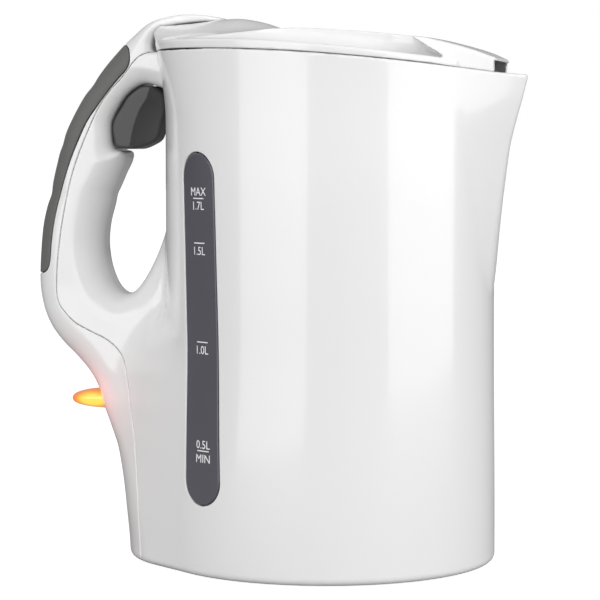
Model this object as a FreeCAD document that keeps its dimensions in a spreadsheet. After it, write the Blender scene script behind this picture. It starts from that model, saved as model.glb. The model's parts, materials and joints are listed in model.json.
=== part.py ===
import FreeCAD, Part
import math
import os
from FreeCAD import Vector as V

# Electric kettle. Millimetres, +Z up, +X towards the spout, -X towards the handle,
# origin on the body axis in the plane the kettle stands on.

os.makedirs("parts", exist_ok=True)
doc = FreeCAD.newDocument("kettle")

# ---- driving dimensions -------------------------------------------------------------
SIZES = [
    ("gap", 0.3), ("running_gap", 0.05), ("wall", 2.5), ("tall", 240.0), ("wide", 200.0),
    ("body_radius", 68.0), ("foot_chamfer", 1.2), ("rim_back", 205.1), ("rim_slope", 0.065),
    ("rim_curve", 0.0005), ("floor_level", 25.0), ("ledge_radius", 62.0), ("ledge_height", 3.0),
    ("spout_tip", 81.7), ("spout_low", 105.0), ("spout_nose", 4.0),
    ("handle_wall", 4.8), ("handle_half", 14.5), ("spine_half", 17.0), ("spine_wall", 2.6),
    ("grip_depth", 2.6),
    ("gauge_angle", -126.5), ("gauge_half_angle", 8.7), ("gauge_low", 27.0), ("gauge_high", 166.0),
    ("gauge_lip", 2.0),
    ("hinge_x", -66.0), ("hinge_z", 212.0), ("knuckle_radius", 5.3), ("knuckle_core", 3.6), ("knuckle_room", 7.4), ("tongue_slot_half", 15.6), ("lid_pin_radius", 1.5),
    ("lid_pin_length", 36.0), ("boss_half", 7.4), ("tongue_half", 12.0), ("tongue_end", -43.5),
    ("lid_radius", 69.4), ("flange_height", 3.5), ("flange_gap", 0.4), ("flange_front", 58.0),
    ("lid_wall", 2.2), ("crown_base", 66.0), ("crown_top", 57.0), ("crown_level", 213.0),
    ("hood_front", 70.0), ("hood_half", 20.0), ("dome_half", 30.0),
    ("pan_radius", 60.5), ("pan_low", 191.0), ("pan_high", 202.0), ("pan_thick", 2.0),
    ("seal_radius", 64.2), ("seal_half_height", 1.6), ("seal_level", 195.0), ("seal_width", 3.4),
    ("trigger_x", -79.0), ("trigger_z", 197.0), ("trigger_half", 9.0), ("pin_radius", 1.25),
    ("trigger_pin_length", 22.0), ("slot_half", 9.5),
    ("switch_x", -86.0), ("switch_z", 61.5), ("lever_half", 8.5), ("lever_thick", 8.0),
    ("switch_pin_length", 31.0), ("lever_window", 9.2),
    ("plate_radius", 64.6), ("plate_thick", 0.8), ("element_ring", 44.0), ("element_tube", 3.6),
    ("spreader_radius", 52.0), ("spreader_thick", 1.8),
    ("seat_seal_thick", 1.6), ("control_radius", 30.0), ("control_height", 5.5), ("control_top", 15.6),
    ("socket_radius", 18.0), ("socket_hole", 5.0), ("socket_low", 2.4), ("socket_ring", 9.0),
    ("bottom_radius", 64.0), ("bottom_thick", 2.0), ("bottom_level", 1.2),
    ("recess_radius", 16.5), ("recess_height", 8.0), ("screw_radius", 1.6), ("screw_head", 3.2),
    ("screw_length", 8.0), ("screw_ring", 40.0), ("control_screw_ring", 25.0),
    ("bimetal_radius", 6.5), ("bimetal_thick", 0.6), ("tube_radius", 3.2), ("tube_bore", 2.2),
    ("wire_radius", 0.9), ("filter_thick", 1.6), ("filter_x", 58.0), ("filter_half", 21.0),
    ("mesh_thick", 0.4), ("lamp_radius", 2.4), ("lamp_length", 11.0), ("turn", 360.0),
]
sheet = doc.addObject("Spreadsheet::Sheet", "Dims")
for row, (name, value) in enumerate(SIZES, start=1):
    sheet.set("A%d" % row, name)
    sheet.set("B%d" % row, str(value))
    sheet.setAlias("B%d" % row, name)
doc.recompute()
d = {name: float(sheet.get(name)) for name, _ in SIZES}

# Side view curves (x, z) of the handle: outer edge, inner edge and half width per station.
HANDLE = [
    ((-62.0, 221.8), (-62.0, 196.5), 13.0), ((-76.0, 218.9), (-71.5, 195.5), 13.8),
    ((-87.0, 211.0), (-80.0, 193.0), 14.5), ((-98.0, 198.6), (-87.5, 188.0), 14.5),
    ((-108.0, 183.5), (-93.0, 178.0), 14.5), ((-114.5, 169.0), (-92.5, 167.0), 14.5),
    ((-119.0, 156.5), (-90.0, 156.5), 14.5), ((-122.8, 143.0), (-94.0, 142.0), 14.5),
    ((-125.5, 123.0), (-96.3, 126.0), 14.5), ((-124.8, 104.5), (-93.8, 114.8), 14.5),
    ((-118.0, 89.5), (-87.0, 106.5), 14.8), ((-107.0, 79.0), (-77.0, 99.0), 15.2),
    ((-99.0, 70.0), (-64.0, 90.0), 15.6),
]
# Lower spine: level, outer x, half width.
SPINE = [(0.0, -83.0, 15.0), (3.0, -84.9, 16.5), (30.0, -88.0, 17.0), (55.0, -94.4, 16.8),
         (68.0, -98.4, 16.4), (80.0, -104.0, 15.6), (92.0, -106.0, 14.0)]
# Seam between the handle's inner half and the rear cover, top to bottom (x, z).
SEAM = [(-58.0, 208.6), (-74.5, 207.6), (-80.5, 203.5), (-84.5, 197.5), (-93.4, 187.9), (-101.8, 172.5),
        (-108.7, 154.9), (-113.4, 132.0), (-115.3, 109.1), (-113.7, 103.7), (-106.9, 95.9),
        (-99.1, 91.6), (-91.3, 88.0), (-85.7, 82.9), (-82.9, 77.5), (-81.8, 71.7), (-80.1, 60.8),
        (-78.0, 42.5), (-76.2, 21.1), (-75.1, -4.0)]
# Inner edge of the soft grip in side view (x, z).
GRIP = [(-90.5, 213.5), (-82.6, 209.5), (-82.0, 204.0), (-83.6, 199.6), (-91.3, 190.9), (-100.3, 178.9),
        (-105.4, 169.3), (-111.7, 153.9), (-116.3, 137.2), (-118.2, 120.1), (-119.0, 117.0),
        (-129.5, 114.0)]
# Lid crown's fore-and-aft silhouette over the hinge (x, z).
DOME = [(-66.0, 217.3), (-55.0, 219.2), (-43.8, 220.6), (-38.0, 220.9), (-31.9, 220.2),
        (-26.8, 219.0), (-20.5, 216.6), (-8.0, 213.4)]


# ---- helpers ------------------------------------------------------------------------
def rim_z(x):
    return d["rim_back"] - d["rim_slope"] * x - d["rim_curve"] * x * x


def feature(name, shape):
    obj = doc.addObject("Part::Feature", name)
    obj.Shape = shape
    obj.Label = name
    return obj


def bind(obj, **sizes):
    for prop, alias in sizes.items():
        obj.setExpression(prop, "Dims." + alias if not alias.startswith("=") else alias[1:])
    return obj


def axis_rotation(direction):
    return FreeCAD.Rotation(V(0, 0, 1), V(*direction))


def cylinder(name, radius, height, at, direction=(0, 0, 1)):
    obj = doc.addObject("Part::Cylinder", name)
    bind(obj, Radius=radius, Height=height)
    obj.Placement = FreeCAD.Placement(V(*at), axis_rotation(direction))
    return obj


def box(name, length, width, height, at):
    obj = doc.addObject("Part::Box", name)
    bind(obj, Length=length, Width=width, Height=height)
    obj.Placement = FreeCAD.Placement(V(*at), FreeCAD.Rotation())
    return obj


def cut(name, base, *tools):
    for count, tool in enumerate(tools):
        step = doc.addObject("Part::Cut", name if count == len(tools) - 1 else name + "_step")
        step.Base, step.Tool = base, tool
        base = step
    base.Label = name
    return base


def fuse(name, *shapes):
    obj = doc.addObject("Part::MultiFuse", name)
    obj.Shapes = list(shapes)
    obj.Refine = True
    obj.Label = name
    return obj


def spline_xz(points, y=0.0):
    curve = Part.BSplineCurve()
    curve.interpolate([V(x, y, z) for x, z in points])
    return curve.toShape()


def prism_xz(edges, half):
    """Solid standing on the XZ outline `edges` (drawn at y = -half), 2 * half wide."""
    face = Part.Face(Part.Wire(edges))
    solid = face.extrude(V(0, 2 * half, 0))
    return solid if solid.Volume > 0 else solid.reversed()


def line_xz(a, b, y):
    return Part.makeLine(V(a[0], y, a[1]), V(b[0], y, b[1]))


def area_xz(points, corners, half):
    """Prism between an interpolated curve and the straight corners that close it."""
    edges = [spline_xz(points, -half)]
    chain = [points[-1]] + corners + [points[0]]
    edges += [line_xz(a, b, -half) for a, b in zip(chain, chain[1:])]
    return prism_xz(edges, half)


def poly_prism(points, half):
    ring = points + [points[0]]
    return prism_xz([line_xz(a, b, -half) for a, b in zip(ring, ring[1:])], half)


def shifted(points, dist):
    """Side view curve moved square to itself by `dist` (positive: to the left of travel)."""
    moved = []
    for i, (x, z) in enumerate(points):
        ax, az = points[max(i - 1, 0)]
        bx, bz = points[min(i + 1, len(points) - 1)]
        length = math.hypot(bx - ax, bz - az)
        moved.append((x - (bz - az) / length * dist, z + (bx - ax) / length * dist))
    return moved


ROUND = 24           # points round one cross-section
SQUARE = 0.72        # corner fullness of the handle's cross-section (1 is an ellipse)


def handle_section(outer, inner, half, inset):
    """Closed rounded-oblong wire between the outer and the inner edge point."""
    centre = V((outer[0] + inner[0]) / 2, 0, (outer[1] + inner[1]) / 2)
    across = V(outer[0] - inner[0], 0, outer[1] - inner[1])
    depth = across.Length / 2 - inset
    across.normalize()
    points = []
    for k in range(ROUND):
        angle = 2 * math.pi * k / ROUND
        c, s = math.cos(angle), math.sin(angle)
        u = math.copysign(abs(c) ** SQUARE, c) * depth
        w = math.copysign(abs(s) ** SQUARE, s) * (half - inset)
        points.append(centre + across * u + V(0, w, 0))
    curve = Part.BSplineCurve()
    curve.interpolate(points, PeriodicFlag=True)
    return Part.Wire([curve.toShape()])


def handle_solid(inset, first=0, last=len(HANDLE)):
    wires = [handle_section(o, i, h, inset) for o, i, h in HANDLE[first:last]]
    return Part.makeLoft(wires, True, False)


def spine_solid(inset, low):
    """Upright loft behind the body; its front edge lies inside the body wall."""
    wires = []
    for level, back, half in SPINE:
        z = max(level, low)
        x0, x1, h = back + inset, -56.0, half - inset
        nose = 9.0 - inset * 0.5
        p = [V(x1, -h, z), V(x0 + nose, -h, z), V(x0, -h + nose, z), V(x0, h - nose, z),
             V(x0 + nose, h, z), V(x1, h, z)]
        bend = nose * (1 - math.sqrt(0.5))
        near = Part.Arc(p[1], V(x0 + bend, -h + bend, z), p[2]).toShape()
        far = Part.Arc(p[3], V(x0 + bend, h - bend, z), p[4]).toShape()
        wires.append(Part.Wire([Part.makeLine(p[0], p[1]), near, Part.makeLine(p[2], p[3]), far,
                                Part.makeLine(p[4], p[5]), Part.makeLine(p[5], p[0])]))
    return Part.makeLoft(wires, True, True)


def revolve_profile(points):
    ring = [V(r, 0, z) for r, z in points] + [V(points[0][0], 0, points[0][1])]
    face = Part.Face(Part.makePolygon(ring))
    return face.revolve(V(0, 0, 0), V(0, 0, 1), 360)


def body_profile(inset, low):
    r = d["body_radius"] - inset
    c = d["foot_chamfer"] if inset == 0 else 0.0
    return [(0, low), (r - c, low), (r - c * 0.3, low + c * 0.3), (r, low + c), (r, 180.0),
            (r + 0.7, 192.0), (r + 2.2, 204.0), (r + 3.0, 212.0), (0, 212.0)]


def spout_solid(inset):
    """Beak fused to the body's front: tangent faces meeting in a rounded nose."""
    wires = []
    for level, tip in ((d["spout_low"], 66.0), (125.0, 69.6), (144.0, 71.6), (163.0, 74.0),
                       (181.0, 77.8), (197.0, d["spout_tip"]), (212.0, 86.5)):
        x = tip - inset - d["spout_nose"]
        spread = math.radians(38.0)
        bx, by = 60.0 * math.cos(spread), 60.0 * math.sin(spread) - inset
        nose = d["spout_nose"]
        side = math.atan2(by - nose, x - bx)
        nx, ny = nose * math.sin(side), nose * math.cos(side)
        a, b = V(bx, -by, level), V(x + nx, -ny, level)
        c, e = V(x + nx, ny, level), V(bx, by, level)
        arc = Part.Arc(b, V(x + nose, 0, level), c).toShape()
        wires.append(Part.Wire([Part.makeLine(a, b), arc, Part.makeLine(c, e), Part.makeLine(e, a)]))
    return Part.makeLoft(wires, True, False)


def above_rim(lift):
    """Everything higher than the sloping rim line raised by `lift`."""
    xs = [-140.0, -100.0, -66.0, -30.0, 0.0, 30.0, 60.0, 90.0, 100.0]
    pts = [(x, rim_z(x) + lift) for x in xs]
    return area_xz(pts, [(100.0, 260.0), (-140.0, 260.0)], 100.0)


def sector(angle, half_angle, low, high, inner, outer):
    """Ring segment round the body axis."""
    face = Part.makeCylinder(outer, high - low, V(0, 0, low), V(0, 0, 1), 2 * half_angle)
    core = Part.makeCylinder(inner, high - low, V(0, 0, low))
    shape = face.cut(core)
    shape.rotate(V(0, 0, 0), V(0, 0, 1), angle - half_angle)
    return shape


def export_node(obj, name):
    obj.Label = name
    NODES.append((name, obj))


NODES = []

# ---- shared envelopes ---------------------------------------------------------------
gap = d["gap"]
body_outer = revolve_profile(body_profile(0.0, 0.0))
body_inner = revolve_profile(body_profile(d["wall"], d["floor_level"]))
base_inner = revolve_profile([(0, -1), (d["body_radius"] - d["wall"], -1),
                              (d["body_radius"] - d["wall"], d["floor_level"] - d["ledge_height"]),
                              (0, d["floor_level"] - d["ledge_height"])])
ledge_hole = Part.makeCylinder(d["ledge_radius"], d["ledge_height"] + 2,
                               V(0, 0, d["floor_level"] - d["ledge_height"] - 1))
spout_outer = spout_solid(0.0)
spout_inner = spout_solid(d["wall"])
handle_outer = handle_solid(0.0)
handle_inner = handle_solid(d["handle_wall"])
grip_under = handle_solid(d["grip_depth"])
spine_outer = spine_solid(0.0, 0.0)
spine_inner = spine_solid(d["spine_wall"], d["bottom_thick"])

OUT = [(-140.0, -4.0), (-140.0, 240.0), (-58.0, 240.0)]
outside = area_xz(SEAM, OUT, 40.0)
side_gap = shifted(SEAM, gap)
outside_wide = area_xz(side_gap, OUT, 40.0)
if outside_wide.Volume < outside.Volume:
    side_gap = shifted(SEAM, -gap)
    outside_wide = area_xz(side_gap, OUT, 40.0)
grip_area = area_xz(GRIP, [(-145.0, 114.0), (-145.0, 213.5)], 40.0)
grip_small = area_xz(shifted(GRIP, -gap), [(-145.0, 114.0), (-145.0, 213.5)], 40.0)
if grip_small.Volume > grip_area.Volume:
    grip_small = area_xz(shifted(GRIP, gap), [(-145.0, 114.0), (-145.0, 213.5)], 40.0)
rim_cut = above_rim(0.0)

handle_hollow = handle_inner.fuse(spine_inner).cut(
    Part.makeCylinder(d["body_radius"] + gap, d["tall"], V(0, 0, -1)))
case_outer = handle_outer.fuse(spine_outer)

# ---- openings cut in the shells -----------------------------------------------------
hx, hz = d["hinge_x"], d["hinge_z"]
tx, tz = d["trigger_x"], d["trigger_z"]
sx, sz = d["switch_x"], d["switch_z"]
slot = d["slot_half"]
trigger_slot = poly_prism([(-98.4, 160.5), (-98.4, 186.0), (-84.0, 201.5), (-60.0, 201.5),
                           (-60.0, 160.5)], slot)
latch_slot = Part.makeBox(14, 2 * 5.5, 9.0, V(-74, -5.5, 191.5))
lever_cut = Part.makeBox(18, 2 * d["lever_window"], 12.3, V(-106, -d["lever_window"], 56.6))
knuckle_pocket = Part.makeCylinder(d["knuckle_radius"] + 0.4, 44.0, V(hx, -22.0, hz), V(0, 1, 0))
tongue_core = Part.makeBox(60, 2 * d["boss_half"], 60, V(-100, -d["boss_half"], 180))
cheek_room = poly_prism([(hx, hz - 6.5), (hx, 216.9), (-40.0, 219.9), (-40.0, 204.5),
                         (-60.0, 205.6)], 40.0)
tube_hole = Part.makeCylinder(d["tube_radius"], 16, V(-76, 0, 62.0), V(1, 0, 0))
wire_hole = Part.makeBox(12, 14.0, 7.0, V(-74, -7.0, 10.5))
gauge_hole = sector(d["gauge_angle"], d["gauge_half_angle"], d["gauge_low"], d["gauge_high"],
                    50.0, 80.0)
gauge_ledge = sector(d["gauge_angle"], d["gauge_half_angle"] + 1.6, d["gauge_low"] - d["gauge_lip"],
                     d["gauge_high"] + d["gauge_lip"], d["body_radius"] - d["wall"] - 1, 66.9)
cover_screws = [(y, 7.5) for y in (-10.5, 10.5)]


def along_x(radius, x0, length, y, z):
    return Part.makeCylinder(radius, length, V(x0, y, z), V(1, 0, 0))


# ---- jug: body wall, spout, inner half of the handle ---------------------------------
def bottom_post():
    """Screw post with a rib that ties it to the wall."""
    foot = d["bottom_level"] + d["bottom_thick"] + 0.2
    leg = Part.makeCylinder(4.2, 12.0, V(59.5, 0, foot))
    rib = Part.makeBox(5.0, 2.0, 10.0, V(62.0, -1.0, foot + 2.0))
    hole = Part.makeCylinder(d["screw_radius"] + 0.02, 9.5, V(59.5, 0, foot - 0.5))
    return leg.fuse(rib).cut(hole)


POST_ANGLES = (0.0, 120.0, 240.0)


def round_axis(shape, angle):
    turned = shape.copy()
    turned.rotate(V(0, 0, 0), V(0, 0, 1), angle)
    return turned


filter_x, filter_half = d["filter_x"], d["filter_half"]
rails = Part.makeBox(5.0, 70.0, 38.0, V(filter_x - 2.5, -35.0, 151.0)).cut(
    Part.makeBox(5.0, 2 * filter_half - 3.0, 38.0, V(filter_x - 2.5, 1.5 - filter_half, 151.0))).cut(
    Part.makeBox(d["filter_thick"] + 0.5, 2 * filter_half + 0.6, 36.5,
                 V(filter_x - d["filter_thick"] / 2 - 0.25, -filter_half - 0.3, 152.5)))
rails = rails.common(Part.makeCylinder(d["body_radius"] - 1.0, d["tall"]))

jug_handle = case_outer.cut(outside_wide).cut(handle_hollow)
jug_shape = body_outer.fuse(spout_outer).fuse(jug_handle)
spout_way = spout_inner.cut(Part.makeBox(200, 200, 100, V(-100, -100, 0)))
for tool in (body_inner.fuse(spout_way), base_inner, ledge_hole, rim_cut,
             trigger_slot.cut(body_outer), latch_slot, tube_hole, wire_hole, gauge_hole, gauge_ledge,
             knuckle_pocket):
    jug_shape = jug_shape.cut(tool)
for angle in POST_ANGLES:
    jug_shape = jug_shape.fuse(round_axis(bottom_post(), angle))
jug_shape = jug_shape.fuse(rails)
trigger_pin_hole = Part.makeCylinder(d["pin_radius"], 25.0, V(tx, -12.5, tz), V(0, 1, 0))
jug_shape = jug_shape.cut(trigger_pin_hole)
for y, z in cover_screws:
    jug_shape = jug_shape.cut(along_x(d["screw_radius"] + 0.2, -75.0, 20.0, y, z))
export_node(feature("jug", jug_shape), "jug")

# ---- rear cover with the tongue over the lid hinge -----------------------------------
cover = case_outer.common(outside).cut(handle_hollow)
cover = cover.cut(revolve_profile(body_profile(-gap, -1.0)))
grip_pocket = handle_outer.cut(grip_under).common(grip_area)


def tongue_plan(wide, narrow, tip, waist):
    """Plan of the tongue or of its slot: straight sides to `waist`, then an arc to `tip`."""
    root, level = -70.0, 195.0
    wire = Part.Wire([
        Part.makeLine(V(root, -wide, level), V(waist, -narrow, level)),
        Part.Arc(V(waist, -narrow, level), V(tip, 0, level), V(waist, narrow, level)).toShape(),
        Part.makeLine(V(waist, narrow, level), V(root, wide, level)),
        Part.makeLine(V(root, wide, level), V(root, -wide, level))])
    return Part.Face(wire).extrude(V(0, 0, 40))


tongue_side = poly_prism([(-70.0, 215.5), (-62.0, 216.6), (-40.0, 218.7), (-40.0, 221.0),
                          (-43.8, 220.7), (-55.0, 222.0), (-62.0, 221.8), (-70.0, 220.6)], 40.0)
cover = cover.cut(Part.makeBox(40, 80, 60, V(-64.0, -40, 190)))
cover = cover.cut(cheek_room.cut(tongue_core)).cut(knuckle_pocket.cut(tongue_core))
cover = cover.fuse(tongue_plan(14.8, 11.0, d["tongue_end"], -54.0).common(tongue_side))
hinge_boss = Part.makeCylinder(4.2, 2 * d["boss_half"], V(hx, -d["boss_half"], hz), V(0, 1, 0))
hinge_web = Part.makeBox(8.4, 2 * d["boss_half"], 6.0, V(hx - 4.2, -d["boss_half"], hz))
cover = cover.fuse(hinge_boss).fuse(hinge_web)
for y, z in cover_screws:
    cover = cover.fuse(along_x(3.4, -84.0, 14.5, y, z).common(spine_outer).common(
        Part.makeBox(16.0, 40.0, 40.0, V(-85.5, -20.0, 0.5))))
    cover = cover.cut(along_x(d["screw_radius"] + 0.02, -80.0, 12.0, y, z))
pin_hole = Part.makeCylinder(d["lid_pin_radius"], 44.0, V(hx, -22.0, hz), V(0, 1, 0))
switch_hole = Part.makeCylinder(d["pin_radius"], d["switch_pin_length"],
                                V(sx, -d["switch_pin_length"] / 2, sz), V(0, 1, 0))
for tool in (pin_hole, grip_pocket, lever_cut, switch_hole):
    cover = cover.cut(tool)
export_node(feature("rear_cover", cover), "rear_cover")

grip = handle_outer.cut(handle_solid(d["grip_depth"] - gap)).common(grip_small)
export_node(feature("grip_insert", grip), "grip_insert")

# ---- level gauge ---------------------------------------------------------------------
window = sector(d["gauge_angle"], d["gauge_half_angle"] - 0.25, d["gauge_low"] + gap,
                d["gauge_high"] - gap, 66.5, d["body_radius"] + 0.1)
lip = sector(d["gauge_angle"], d["gauge_half_angle"] + 1.4, d["gauge_low"] - d["gauge_lip"] + gap,
             d["gauge_high"] + d["gauge_lip"] - gap, d["body_radius"] - d["wall"] + 0.1, 66.6)
export_node(feature("gauge_window", window.fuse(lip)), "gauge_window")

# ---- lid -----------------------------------------------------------------------------
CREST = [(-76.0, 208.5), (-50.0, 211.5), (-30.0, 213.4), (-10.0, 214.7), (0.0, 214.8), (11.0, 214.2),
         (27.0, 213.0), (41.0, 211.4), (53.0, 209.4), (65.0, 206.3), (71.0, 204.6)]


def lid_envelope(inset):
    """Flange, scooped crown, hinge dome and spout hood in one solid, `inset` smaller."""
    on_rim = d["flange_gap"] + inset
    plate = Part.makeCylinder(d["lid_radius"] - inset, 40.0, V(0, 0, 190.0))
    plate = plate.cut(Part.makeBox(60, 200, 60, V(d["flange_front"] - inset, -100, 180)))
    plate = plate.cut(above_rim(d["flange_gap"] + d["flange_height"] - inset))
    crown = Part.makeCone(d["crown_base"] - inset, d["crown_top"] - inset, 16.0, V(0, 0, 203.0))
    crown = crown.fuse(Part.makeCylinder(d["crown_base"] - inset, 8.0, V(0, 0, 195.0)))
    below = area_xz([(x, z - inset) for x, z in CREST], [(71.0, 180.0), (-76.0, 180.0)], 90.0)
    side = [(x, z - inset) for x, z in DOME]
    dome = area_xz(side, [(-8.0 - inset, 200.0), (hx, 200.0)], d["dome_half"] - inset)
    dome = dome.common(Part.makeCone(d["crown_base"] + 4.0 - inset, d["crown_top"] - 3.0 - inset,
                                     18.0, V(0, 0, 204.0)))
    front, half = d["hood_front"] - inset, 10.5 - inset
    plan = [V(30, -34 + inset, 180), V(57, -24 + inset, 180), V(front, -half, 180), V(front, half, 180),
            V(57, 24 - inset, 180), V(30, 34 - inset, 180), V(30, -34 + inset, 180)]
    hood = Part.Face(Part.makePolygon(plan)).extrude(V(0, 0, 60)).common(below)
    return plate.fuse(crown.common(below)).fuse(dome).fuse(hood).common(above_rim(on_rim))


lid = lid_envelope(0.0).cut(Part.makeBox(60, 200, 60, V(hx - 60.0, -100, 190)))
knuckles = Part.makeCylinder(d["knuckle_radius"], 40.0, V(hx, -20.0, hz), V(0, 1, 0))
knuckle_cores = Part.makeCylinder(d["knuckle_core"], 40.0, V(hx, -20.0, hz), V(0, 1, 0))
lid = lid.fuse(knuckles)
lid = lid.cut(lid_envelope(d["lid_wall"]).cut(Part.makeCylinder(7.6, 60, V(hx, -30, hz), V(0, 1, 0))))
slot_half = d["tongue_slot_half"]
slot_room = tongue_plan(slot_half, 14.0, d["tongue_end"] + 1.5, -52.0)
slot_room = slot_room.fuse(Part.makeCylinder(d["knuckle_room"], 2 * slot_half, V(hx, -slot_half, hz),
                                             V(0, 1, 0)))
lid = lid.cut(slot_room).fuse(knuckle_cores)
core_half = d["boss_half"] + gap
lid = lid.cut(Part.makeBox(16.0, 2 * core_half, 24.0, V(hx - 8.0, -core_half, 200.0)))
lid = lid.cut(Part.makeCylinder(d["lid_pin_radius"] + d["running_gap"], 50, V(hx, -25, hz), V(0, 1, 0)))
lid = lid.cut(Part.makeCylinder(2.95, 4.6, V(hx, -core_half - 4.5, hz), V(0, 1, 0)))
export_node(feature("lid_cover", lid), "lid_cover")

pan = Part.makeCylinder(d["pan_radius"], 30.0, V(0, 0, d["pan_low"]))
pan = pan.cut(Part.makeCylinder(d["pan_radius"] - d["pan_thick"], 30.0,
                                V(0, 0, d["pan_low"] + d["pan_thick"])))
pan = pan.cut(above_rim(d["flange_gap"] - 0.1))
groove = revolve_profile([(60.0, d["seal_level"] - 1.0), (62.0, d["seal_level"] - 1.0),
                          (62.0, d["seal_level"] + 1.0), (60.0, d["seal_level"] + 1.0)])
catch = Part.makeBox(3.6, 9.0, 4.0, V(-63.8, -4.5, 197.5)).cut(
    Part.makeCylinder(d["pan_radius"] - 0.5, 20, V(0, 0, 190)))
pan = pan.fuse(groove).fuse(catch)
pan = pan.cut(Part.makeCylinder(d["knuckle_radius"] + 1.0, 60, V(hx, -30, hz), V(0, 1, 0)))
pan = pan.cut(Part.makeBox(26.0, 32.0, 20.0, V(hx, -16.0, 203.0)))
export_node(feature("lid_inner", pan), "lid_inner")

seal = revolve_profile([(60.55, d["seal_level"] - 1.7), (62.4, d["seal_level"] - 1.7),
                        (64.2, d["seal_level"] - 0.5), (64.2, d["seal_level"] + 0.1),
                        (62.4, d["seal_level"] + 1.7), (60.55, d["seal_level"] + 1.7)]).cut(groove)
rear_notch = Part.makeBox(20.0, 12.0, 12.0, V(-80.0, -6.0, d["seal_level"] - 6.0))
export_node(feature("lid_seal", seal.cut(rear_notch)), "lid_seal")
lid_pin = cylinder("lid_hinge_pin", "lid_pin_radius", "lid_pin_length",
                   (hx, -d["lid_pin_length"] / 2, hz), (0, 1, 0))
export_node(lid_pin, "lid_hinge_pin")

# ---- lid release trigger --------------------------------------------------------------
TRIGGER = [(-81.5, 192.6), (-77.5, 194.5), (-72.6, 192.0), (-71.6, 184.0), (-73.2, 178.0),
           (-75.8, 171.0), (-80.0, 168.2), (-86.0, 167.2), (-90.5, 167.8), (-92.0, 171.5),
           (-92.6, 176.5), (-89.5, 184.0)]
blade = poly_prism(TRIGGER, d["trigger_half"])
neck = poly_prism([(tx - 3.0, tz), (tx + 3.0, tz), (tx + 4.0, 191.5), (tx - 4.0, 191.5)], 5.0)
hub = Part.makeCylinder(3.0, 2 * d["trigger_half"], V(tx, -d["trigger_half"], tz), V(0, 1, 0))
arm = poly_prism([(tx, tz - 1.5), (-66.0, 193.3), (-62.2, 193.3), (-62.2, 197.1), (-64.4, 197.1),
                  (-64.8, 195.6), (tx, tz + 1.6)], 4.0)
trigger = blade.fuse(neck).fuse(hub).fuse(arm)
trigger = trigger.cut(Part.makeCylinder(d["pin_radius"] + d["running_gap"], 30,
                                        V(tx, -15, tz), V(0, 1, 0)))
export_node(feature("lid_release_trigger", trigger), "lid_release_trigger")
export_node(cylinder("trigger_pin", "pin_radius", "trigger_pin_length",
                     (tx, -d["trigger_pin_length"] / 2, tz), (0, 1, 0)), "trigger_pin")

# ---- power switch ----------------------------------------------------------------------
def lever_shape():
    wires = []
    for x, half, thick in ((-111.6, 2.2, 2.0), (-110.6, 4.6, 4.2), (-107.0, 7.0, 6.6),
                           (-101.0, 8.3, 7.8), (-94.0, 8.4, 8.0), (-86.0, 8.4, 8.0)):
        points = [V(x, half * math.cos(2 * math.pi * k / ROUND),
                    sz + thick / 2 * math.sin(2 * math.pi * k / ROUND)) for k in range(ROUND)]
        curve = Part.BSplineCurve()
        curve.interpolate(points, PeriodicFlag=True)
        wires.append(Part.Wire([curve.toShape()]))
    return Part.makeLoft(wires, True, False)


lever = lever_shape().fuse(Part.makeCylinder(4.0, 17.0, V(sx, -8.5, sz), V(0, 1, 0)))
lever = lever.cut(Part.makeCylinder(d["pin_radius"] + d["running_gap"], 30, V(sx, -15, sz), V(0, 1, 0)))
export_node(feature("switch_lever", lever), "switch_lever")
export_node(cylinder("switch_pin", "pin_radius", "switch_pin_length",
                     (sx, -d["switch_pin_length"] / 2, sz), (0, 1, 0)), "switch_pin")

housing = Part.makeBox(5.5, 21.0, 22.0, V(-75.0, -10.5, 52.0)).cut(
    Part.makeBox(3.0, 17.0, 18.0, V(-76.0, -8.5, 54.0))).cut(
    along_x(d["tube_radius"] + 0.1, -76.0, 12.0, 0.0, 62.0))
export_node(feature("steam_switch_housing", housing), "steam_switch_housing")
disc = cylinder("steam_bimetal", "bimetal_radius", "bimetal_thick", (-74.4, 0, 64.0), (1, 0, 0))
export_node(disc, "steam_bimetal")
export_node(cylinder("neon_lamp", "lamp_radius", "lamp_length",
                     (-78.8, -d["lamp_length"] / 2, sz), (0, 1, 0)), "neon_lamp")
leaf = poly_prism([(-75.0, 55.0), (-77.2, 54.0), (-80.8, 55.4), (-80.9, 55.0), (-77.2, 53.6),
                   (-75.0, 54.6)], 2.5)
export_node(feature("overcentre_spring", leaf), "overcentre_spring")


# ---- steam tube and wires ---------------------------------------------------------------
def rod(points, radius):
    """Round rod through `points`, with a ball in each corner."""
    solid = None
    for start, end in zip(points, points[1:]):
        run = V(*end) - V(*start)
        piece = Part.makeCylinder(radius, run.Length, V(*start), run)
        solid = piece if solid is None else solid.fuse(piece)
    for corner in points[1:-1]:
        solid = solid.fuse(Part.makeSphere(radius, V(*corner)))
    return solid


def elbow_tube(radius):
    """Upright run inside the jug turning through the wall to the steam switch."""
    bend, top, x, out = 5.0, 186.0, -61.8, -70.0
    up = Part.makeCylinder(radius, top - 62.0 - bend, V(x, 0, 62.0 + bend))
    arc = Part.Arc(V(x, 0, 62.0 + bend), V(x - bend * (1 - math.sqrt(0.5)), 0,
                                           62.0 + bend * (1 - math.sqrt(0.5))), V(x - bend, 0, 62.0))
    path = Part.Wire([arc.toShape()])
    bent = path.makePipeShell([Part.Wire([Part.makeCircle(radius, V(x, 0, 62.0 + bend), V(0, 0, 1))])],
                              True, True)
    run = Part.makeCylinder(radius, abs(out - (x - bend)), V(out, 0, 62.0), V(1, 0, 0))
    return up.fuse(bent).fuse(run)


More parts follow.
